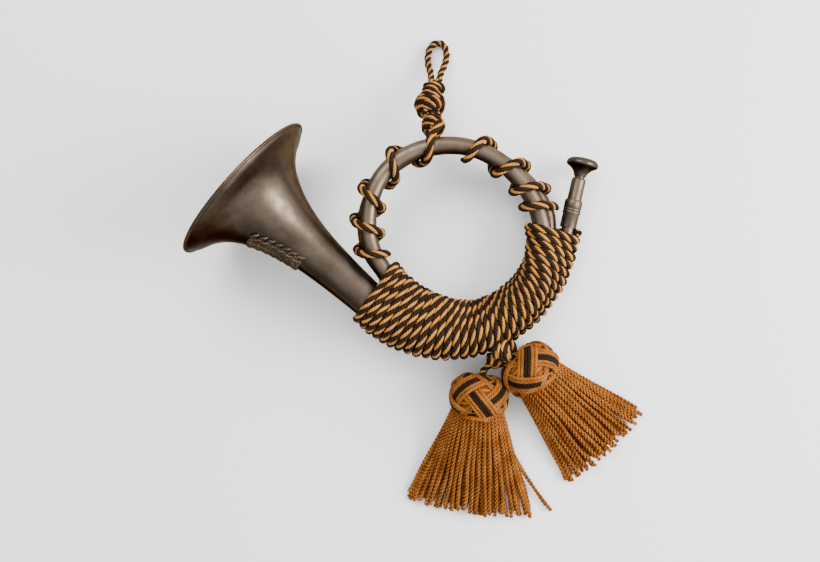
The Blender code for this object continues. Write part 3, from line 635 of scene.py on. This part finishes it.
def make_ornament(brass):
    rows, columns = 110, 90
    x = np.linspace(-1, 1, rows)[:, None] * np.ones((1, columns))
    y = np.ones((rows, 1)) * np.linspace(-1, 1, columns)[None]
    height = leaf_height(x, y) * (np.maximum(np.abs(x), np.abs(y)) < LEAF_MARGIN)
    profile = bell_profile()
    mouth, back = bell_frame()
    side = unit(np.cross(back, UP))
    s = (LEAF_FROM + LEAF_TO) / 2 + x * (LEAF_TO - LEAF_FROM) / 2
    angle = np.radians(LEAF_MIDDLE_DEG + y * LEAF_HALF_DEG * (0.75 + 0.25 * x))[..., None]
    surface = np.interp(s, profile[:, 0], profile[:, 1])
    spread = np.cos(angle) * UP - np.sin(angle) * side
    top = mouth + s[..., None] * back + (surface - LEAF_SUNK + LEAF_HEIGHT * height)[..., None] * spread
    under = mouth + s[..., None] * back + (surface - LEAF_SUNK - 0.3)[..., None] * spread
    piece = Pieces()
    piece.grid(on_horn(top), False)
    piece.grid(on_horn(under), False)
    for cut in (np.s_[0, :], np.s_[-1, :], np.s_[:, 0], np.s_[:, -1]):
        piece.grid(on_horn(np.stack([top[cut], under[cut]])), False)
    obj = piece.make("bell_leaf_relief", brass, "horn")
    weld_and_face_out(obj, sharp_deg=80)
    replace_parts(obj, "bell_ornament")


# ---------------------------------------------------------------- binding and open windings


def outlines(circles, grow, count):
    """Even points round the tight outline of circles (x, z, radius), starting on the outer side."""
    a = np.linspace(0, 2 * np.pi, 361) - np.pi / 2
    d = np.stack([np.cos(a), np.sin(a)], axis=1)
    reach = d @ circles[:, :2].T + circles[:, 2]
    best = circles[np.argmax(reach, axis=1)]
    loop = best[:, :2] + (best[:, 2:] + grow) * d
    run = np.concatenate([[0], np.cumsum(np.linalg.norm(np.diff(loop, axis=0), axis=1))])
    middle = (loop.min(axis=0) + loop.max(axis=0)) / 2
    bearing = np.unwrap(np.arctan2(loop[:, 1] - middle[1], loop[:, 0] - middle[0]))
    at = (np.interp(0.0, bearing, run) + run[-1] * np.arange(count) / count) % run[-1]
    return np.stack([np.interp(at, run, loop[:, k]) for k in range(2)], axis=1)


def crossing(turn, point, normal):
    for _ in range(12):
        here, ahead = (coil_points([turn, turn + 0.5]) - point) @ normal
        turn -= here * 0.5 / (ahead - here)
    return turn


def binding_section(share, grow, count):
    middle = BINDING_FROM_DEG + (BINDING_TO_DEG - BINDING_FROM_DEG) * share
    across = middle + BINDING_SLANT[0] * max(0.0, 1 - share / SLANT_SHARE)
    across += BINDING_SLANT[1] * max(0.0, 1 - (1 - share) / SLANT_SHARE)
    e = direction(across)
    normal = np.cross(UP, e)
    point = (BINDING_RADIUS + BINDING_WIDENING * share) * direction(middle)
    circles = []
    for lap in range(3):
        turn = crossing(COIL_START_DEG - middle + 360 * lap, point, normal)
        p = coil_points(turn)[0] - point
        run = unit(np.diff(coil_points([turn - 1, turn + 1]), axis=0)[0])
        radius = coil_values(np.clip(turn, FIRST_TURN, LAST_TURN))[0, 2]
        circles.append((p @ e, p[2], radius / abs(run @ normal)))
    flat = outlines(np.array(circles), grow, count)
    return point + flat[:, :1] * e + flat[:, 1:] * UP


def binding_route():
    """One cord round all three passes, turn beside turn, out along the sections."""
    sections, around, per_turn = 73, 96, 84
    table = np.array([binding_section(k / (sections - 1), BINDING_LIFT, around) for k in range(sections)])
    weights = np.exp(-0.5 * (np.arange(-4, 5) / 2.0) ** 2)
    padded = np.concatenate([np.repeat(table[:1], 4, axis=0), table, np.repeat(table[-1:], 4, axis=0)])
    soft = sum(w * padded[k : k + sections] for k, w in enumerate(weights)) / weights.sum()
    blend = np.clip(np.minimum(np.arange(sections), np.arange(sections)[::-1]) / 6, 0, 1)[:, None, None]
    table = table * (1 - blend) + soft * blend
    table = np.concatenate([table, table[:, :1]], axis=1)
    t = np.linspace(0, BINDING_TURNS, BINDING_TURNS * per_turn + 1)
    row = t / BINDING_TURNS * (sections - 1)
    column = (-t % 1.0) * around
    r, c = np.minimum(row.astype(int), sections - 2), np.minimum(column.astype(int), around - 1)
    fr, fc = (row - r)[:, None], (column - c)[:, None]
    near = table[r, c] * (1 - fc) + table[r, c + 1] * fc
    far = table[r + 1, c] * (1 - fc) + table[r + 1, c + 1] * fc
    return near * (1 - fr) + far * fr


def winding_route(passes, turns):
    """The open winding round the two passes that show."""
    sign = 1.0 if passes[-1] > passes[0] else -1.0
    around, route = 240, []
    for t in np.linspace(turns[0], turns[1], int((turns[1] - turns[0]) * 40)):
        ring_deg = np.interp(t, range(len(passes)), passes)
        values = coil_values(((COIL_START_DEG - ring_deg) % 360) + np.array([0.0, 360.0]))
        x, z = outlines(values, BINDING_LIFT, around)[int(round((sign * t) % 1.0 * around)) % around]
        route.append(x * direction(ring_deg) + z * UP)
    return np.array(route)


def make_binding(cord):
    piece = Pieces()
    route = evenly(on_horn(binding_route()), 1.3)
    piece.cord(route, BINDING_PITCH, 8)
    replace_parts(piece.make("binding_cord", cord, "horn"), "cord_binding")
    for name, passes, turns, lead_in in (
        ("left_winding", LEFT_PASSES, LEFT_TURNS, LEFT_LEAD_IN),
        ("right_winding", RIGHT_PASSES, RIGHT_TURNS, []),
    ):
        piece = Pieces()
        path = winding_route(passes, turns)
        if lead_in:
            path = np.vstack([lead_in, path[LEAD_IN_OVER:]])
        piece.cord(smooth_route(on_horn(path)[::2], 1.2), WINDING_PITCH, 10)
        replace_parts(piece.make(name + "_cord", cord, "horn"), name)


# ---------------------------------------------------------------- knots and hanging loop


def knot_wraps(piece, centre, axes, half, wraps, lean, phase, spread=0.72):
    """Cord wound round a knot's middle, leaning one way, so that its turns cross over the front."""
    along, across, through = axes
    reach = CORD_RADIUS * KNOT_CORD
    t = np.linspace(0, 1, int(wraps * 60))
    a = 2 * np.pi * wraps * t + phase
    lat = spread * (2 * t - 1)
    waist = np.sqrt(np.clip(1 - lat**2, 0.05, 1))[:, None]
    path = (
        centre
        + (lat * (half[0] - reach) + lean * np.sin(a))[:, None] * along
        + waist * (half[1] - reach) * np.cos(a)[:, None] * across
        + waist * (half[2] - reach) * np.sin(a)[:, None] * through
    )
    piece.cord(evenly(path, 1.0), WINDING_PITCH, 10, KNOT_CORD, phase)


def chain_axes():
    drop = math.radians(CHAIN_DROP_DEG)
    along = np.array([0.0, math.cos(drop), -math.sin(drop)])
    across = np.array([1.0, 0.0, 0.0])
    return along, across, np.cross(across, along)


KNOT_WRAPS = {"lower_knot": (3.2, 2.4), "middle_knot": (3.4, 3.0), "upper_knot": (1.8, 0.8)}  # turns and lean
LEG_OVER, LEG_SIDE = 3.0, 2.4  # how far the chain's two cords pass a knot's end, and each one's place
# The wound cord stands a little off the design's solids, and its inner layer is thinner than the outer one
KNOT_SHIFT, KNOT_SWELL, INNER_LAYER = np.array([1.3, -2.6, 0.0]), 1.1, np.array([1.0, 0.72, 0.72])


def knot_legs(piece, middle, axes, reach, both_ways):
    """The two cords that run on through a knot to its neighbours in the chain."""
    along, across, _ = axes
    for side in (-LEG_SIDE, LEG_SIDE):
        centre = middle + side * across
        start = centre - reach * along if both_ways else centre
        piece.cord(smooth_route([start, centre + reach * along], 1.0), LOOP_PITCH, 10, LOOP_CORD)


def make_knots(cord):
    axes = chain_axes()
    for name, (centre, half) in KNOTS.items():
        piece = Pieces()
        middle = on_surface(np.array(centre) + KNOT_SHIFT)
        half = KNOT_SWELL * np.array(half)
        wraps, lean = KNOT_WRAPS[name]
        knot_wraps(piece, middle, axes, half, wraps, lean, 0.4)
        knot_wraps(piece, middle, axes, half * INNER_LAYER, wraps, -lean * 0.6, 2.0, 0.85)
        knot_legs(piece, middle, axes, half[0] + LEG_OVER, name != "lower_knot")
        body = "horn" if name == "lower_knot" else "hanging_loop"
        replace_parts(piece.make(name + "_cord", cord, body), name)
    out = direction(TASSEL_KNOT_DEG)
    turn = HORN[:3, :3]
    axes = (turn @ np.cross(UP, out), turn @ out, turn @ UP)
    piece = Pieces()
    for distance, round_deg, height, half, wraps, lean in TASSEL_KNOT_PARTS:
        centre = on_horn(distance * direction(TASSEL_KNOT_DEG + round_deg) + height * UP)
        knot_wraps(piece, centre, axes, half, wraps, lean, 1.0)
    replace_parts(piece.make("tassel_knot_cord", cord, "horn"), "tassel_knot")


def make_loop(cord):
    left = [(LOOP_MIDDLE_X - w, y, z) for y, w, z in LOOP_SIDE]
    right = [(LOOP_MIDDLE_X + w, y, z) for y, w, z in LOOP_SIDE]
    route = on_surface(smooth_route(left + right[::-1], 1.0))
    piece = Pieces()
    piece.cord(route, LOOP_PITCH, 12, LOOP_CORD)
    loop = piece.make("hanging_loop_twist", cord, "hanging_loop")
    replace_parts(loop, "hanging_loop_cord")


# ---------------------------------------------------------------- tassels


def tassel_axes(side):
    place, bearing, _, _, _ = TASSELS[side]
    along = direction(bearing)
    return on_surface(np.array([*place, HEAD_HEIGHT])), along, np.cross(along, UP)


def barrel(phase_lat, theta, lift, axes):
    """A point over the barrel-shaped head: latitude and angle round it, and height over the surface."""
    head, along, across = axes
    s = (HEAD_HALF - 2.0 + lift) * np.sin(phase_lat)
    r = 8.2 + (HEAD_RADIUS - 8.7 + lift) * np.cos(phase_lat)
    around = np.cos(theta)[..., None] * across + np.sin(theta)[..., None] * UP
    return head + s[..., None] * along + r[..., None] * around


def make_head(side, material):
    """A Turk's head of flat bands, each with black yarns along its middle, woven over a barrel."""
    axes = tassel_axes(side)
    start = HEAD_START[side]
    theta = np.linspace(0, 2 * np.pi * HEAD_LEADS, 1500)
    phase = theta * HEAD_BIGHTS / HEAD_LEADS
    lat = math.radians(HEAD_WRAP_DEG) * np.cos(phase)
    lift = HEAD_WEAVE * np.sin((HEAD_LEADS - 1) * phase)
    middle = barrel(lat, theta + start, lift, axes)
    outward = unit(barrel(lat, theta + start, lift + 1.0, axes) - middle)
    sideways = np.cross(unit(np.gradient(middle, axis=0)), outward)
    piece = Pieces()
    for offset, tone in HEAD_YARNS:
        path = middle + offset * sideways - BAND_CURVE * offset**2 * outward
        piece.twisted(evenly(path, 1.2), [(tone, HEAD_PLY)] * 3, HEAD_PLY_OFF, HEAD_PLY_PITCH, 7)
    steps = np.linspace(-BARREL_REACH, BARREL_REACH, 25)
    turns = np.linspace(0, 2 * np.pi, 49)[:-1]
    lat_grid, turn_grid = np.meshgrid(steps, turns, indexing="ij")
    inner = barrel(lat_grid, turn_grid, np.full_like(lat_grid, BARREL_LIFT), axes)
    # the barrel is tinted darker as painted shade under the weave
    piece.grid(inner, True, BARREL_SHADE_TONE, True)
    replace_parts(piece.make(f"{side}_tassel_woven_head", material, f"{side}_tassel"), f"{side}_tassel_head")


def wave(t, low, high, fastest):
    """A random wave along a strand: low and high bound its size, and it has 0.8 to fastest waves."""
    return rng.uniform(low, high) * np.sin(2 * np.pi * (t * rng.uniform(0.8, fastest) + rng.random()))


def strand_path(axes, start_turn, end_x, end_z, length, layer, spread=1.05):
    """One strand from inside the head to its loose end: out at the neck, over and down to the surface."""
    head, along, across = axes
    neck = NECK_RADIUS - NECK_STEP * layer
    x0, z0 = 1.08 * neck * math.sin(start_turn), HEAD_HEIGHT - 2.0 + 0.9 * neck * math.cos(start_turn)
    t = np.linspace(0, 1, 14)
    s = STRAND_START + (length - STRAND_START) * t
    x = x0 + (end_x - x0) * t**spread
    z = z0 + (end_z - z0) * (1 - (1 - t) ** 1.5)
    wobble = wave(t, 0.4, 1.5, 1.7) * t
    lift = wave(t, 0.2, 1.2, 1.6) * t * (1 - t) * 2
    place = head + s[:, None] * along + (x + wobble)[:, None] * across
    place[:, 2] = np.maximum(z + lift, PLY + PLY_OFF + 0.2)
    return smooth_route(place, 0.95)


def make_skirt(side, material):
    """Three layers of strands on top and one underneath, with ragged ends, and the left's stray pair."""
    axes = tassel_axes(side)
    _, _, _, end, width = TASSELS[side]
    piece = Pieces()
    ply = [(0.0, PLY)] * 2
    half = width / 2 + 1.0
    for count, layer, share, height in SKIRT_LAYERS[side]:
        for k in range(count):
            u = (k + 0.5) / count * 2 - 1
            turn = u * math.radians(SKIRT_SWEEP_DEG)
            if height < UNDER_HEIGHT:
                turn = math.pi - turn
            end_z = 2.2 + (height - 2.2) * (1 - abs(u) ** 2.2) + rng.uniform(-0.7, 0.7)
            end_x = half * share * u + rng.uniform(-1.2, 1.2)
            length = end * (1.0 - 0.05 * u**2) + rng.uniform(-5.0, 3.0)
            path = strand_path(axes, turn, end_x, end_z, length, layer)
            piece.twisted(path, ply, PLY_OFF, PLY_PITCH, 6, rng.uniform(0, 6.28))
    if side == "left":
        for shift in STRAY_STRANDS:
            out = shift - half - STRAY_OUT
            path = strand_path(axes, -math.radians(STRAY_DEG), out, 2.0, end - 10 - shift, 0.0, 1.7)
            piece.twisted(path, ply, PLY_OFF, PLY_PITCH, 6)
    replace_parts(piece.make(f"{side}_tassel_strands", material, f"{side}_tassel"), f"{side}_tassel_skirt")


def make_tassel_cord(side, material):
    head, along, _ = tassel_axes(side)
    start = on_surface(TASSELS[side][2])
    top = head - HEAD_HALF * along
    way = unit(top - start)
    path = smooth_route([start - CORD_INTO_KNOT * way, top, top + CORD_INTO_HEAD * along], 1.0)
    piece = Pieces()
    piece.cord(path, LOOP_PITCH, 10, LOOP_CORD)
    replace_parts(piece.make(f"{side}_tassel_twist", material, f"{side}_tassel"), f"{side}_tassel_cord")


# ---------------------------------------------------------------- floor, lights and camera


FLOOR_HALF, FLOOR_HEIGHT = 6.0, -0.0004  # in metres
KEY_SIDE = (0.85, 0.1, 0.5)  # the side that the soft light comes from
# Area lights that face the origin: place and size in metres, and power in watts
AREA_LIGHTS = (
    ("key", (1.25, 0.0, 0.7), (0.8, 0.7), 36),
    ("top", (-0.3, 0.9, 1.5), (1.2, 1.0), 22),
)


def make_stage():
    mesh = bpy.data.meshes.new("floor")
    square = ((-1, -1), (1, -1), (1, 1), (-1, 1))
    mesh.from_pydata([(x * FLOOR_HALF, y * FLOOR_HALF, FLOOR_HEIGHT) for x, y in square], [], [(0, 1, 2, 3)])
    floor = bpy.data.objects.new("floor", mesh)
    made, _, _, shader = new_material("pale_floor")
    shader.inputs["Base Color"].default_value = (0.95, 0.95, 0.95, 1)
    shader.inputs["Roughness"].default_value = 0.9
    shader.inputs["Specular IOR Level"].default_value = 0.1
    mesh.materials.append(made)
    bpy.context.scene.collection.objects.link(floor)


def add_area(name, place, size, power):
    light = bpy.data.lights.new(name, "AREA")
    light.shape = "RECTANGLE"
    light.size, light.size_y = size
    light.energy = power
    obj = bpy.data.objects.new(name, light)
    obj.location = place
    obj.rotation_euler = (Vector((0, 0, 0)) - Vector(place)).to_track_quat("-Z", "Y").to_euler()
    bpy.context.scene.collection.objects.link(obj)


def make_lights():
    world = bpy.data.worlds.new("studio")
    world.use_nodes = True
    nodes, links = world.node_tree.nodes, world.node_tree.links
    facing = nodes.new("ShaderNodeVectorMath")
    facing.operation = "DOT_PRODUCT"
    links.new(nodes.new("ShaderNodeTexCoord").outputs["Generated"], facing.inputs[0])
    facing.inputs[1].default_value = unit(np.array(KEY_SIDE))
    glow = nodes.new("ShaderNodeMapRange")
    glow.inputs["From Min"].default_value, glow.inputs["From Max"].default_value = -0.6, 1.0
    glow.inputs["To Min"].default_value, glow.inputs["To Max"].default_value = 0.3, 2.2
    links.new(facing.outputs["Value"], glow.inputs["Value"])
    links.new(glow.outputs["Result"], nodes["Background"].inputs["Strength"])
    nodes["Background"].inputs["Color"].default_value = (1.0, 1.0, 1.0, 1)
    bpy.context.scene.world = world
    for light in AREA_LIGHTS:
        add_area(*light)


def make_camera():
    """Square to the coil's plane, as far off as makes one picture dot 0.8 mm there."""
    view_point, distance, dot, sensor, picture_width = (-33.6, -39.2), 740.0, 0.8, 36.0, 820
    camera = bpy.data.objects.new("camera", bpy.data.cameras.new("camera"))
    camera.data.sensor_width = sensor
    camera.data.lens = distance / dot * sensor / picture_width
    place = Matrix(HORN)
    place.translation = Vector(on_horn((*view_point, distance)) * MM)
    camera.matrix_world = place
    bpy.context.scene.collection.objects.link(camera)
    bpy.context.scene.camera = camera


def main():
    make_camera()
    brass = aged_and_shaded_brass(*TUBE_BRASS)
    bell_brass = aged_and_shaded_brass(*BELL_BRASS)
    fittings = aged_and_shaded_brass(*FITTINGS_BRASS)
    mouth_brass = aged_and_shaded_brass(*MOUTHPIECE_BRASS)
    cord = yarn("twisted_cord", GOLD, BLACK, 3, 2.6)
    amber = yarn("tassel_yarn", AMBER, BLACK, 2, 1.9)
    wood = turned_wood()
    make_loop(cord)
    make_tubes(brass, fittings)
    make_bell(bell_brass, fittings)
    make_mouthpiece(mouth_brass)
    make_ornament(fittings)
    make_binding(cord)
    make_knots(cord)
    for side in TASSELS:
        make_head(side, amber)
        make_skirt(side, amber)
        make_tassel_cord(side, cord)
    for node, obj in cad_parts.items():
        kept = wood if "core" in node else amber if "neck" in node else fittings
        obj.data.materials.clear()
        obj.data.materials.append(kept)
    make_stage()
    make_lights()


main()
